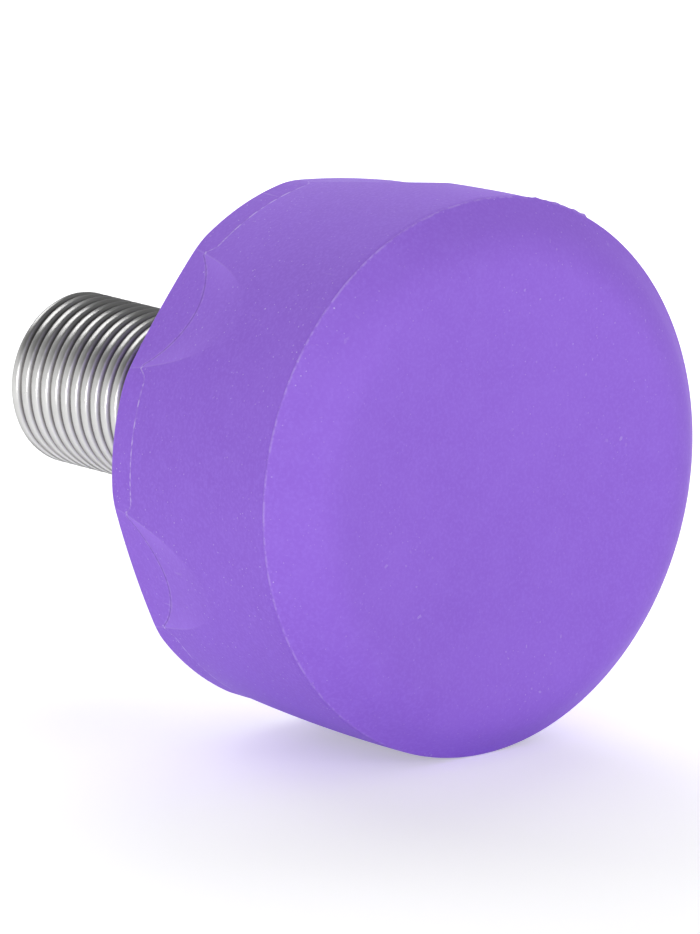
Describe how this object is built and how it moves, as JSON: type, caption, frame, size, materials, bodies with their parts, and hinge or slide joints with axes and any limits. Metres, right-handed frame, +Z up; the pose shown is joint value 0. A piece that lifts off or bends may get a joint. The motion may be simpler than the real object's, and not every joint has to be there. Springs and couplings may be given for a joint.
{
  "type": "roller skate toe stop",
  "caption": "Round moulded rubber stopper on a threaded steel stem, with a lock nut and washer that set how far it stands from a roller skate's plate.",
  "frame": {"origin": "on the stem's axis, in the stopper's flat back face where the stem comes out", "axes": "+Y along the stem towards its tip, -Y out of the brake face, +Z up as in the picture"},
  "size_m": [0.0508, 0.0606, 0.0508],
  "materials": {
    "purple_rubber": "satin, moulded",
    "plated_steel": "bright zinc plate, rolled thread",
    "inner_steel": "plain, bonded inside the moulding",
    "nut_steel": "bright zinc plate",
    "washer_steel": "bright zinc plate"
  },
  "bodies": {
    "stopper": {"rubber_stopper": "purple_rubber", "threaded_stem": "plated_steel", "anchor_plate": "inner_steel"},
    "washer": {"plate_washer": "washer_steel"},
    "nut": {"lock_nut": "nut_steel"}
  },
  "joints": [
    {"name": "nut_travel", "type": "slide", "parent": "stopper", "child": "washer", "axis": [0, 1, 0], "range_m": [0, 0.01976]},
    {"name": "nut_spin", "type": "hinge", "parent": "washer", "child": "nut", "pos_m": [0, 0.00398, 0], "axis": [0, 1, 0], "range_deg": [0, 5040]}
  ],
  "couplings": [
    {"joint": "nut_travel", "follows": "nut_spin", "m_per_rad": 0.00022458}
  ]
}
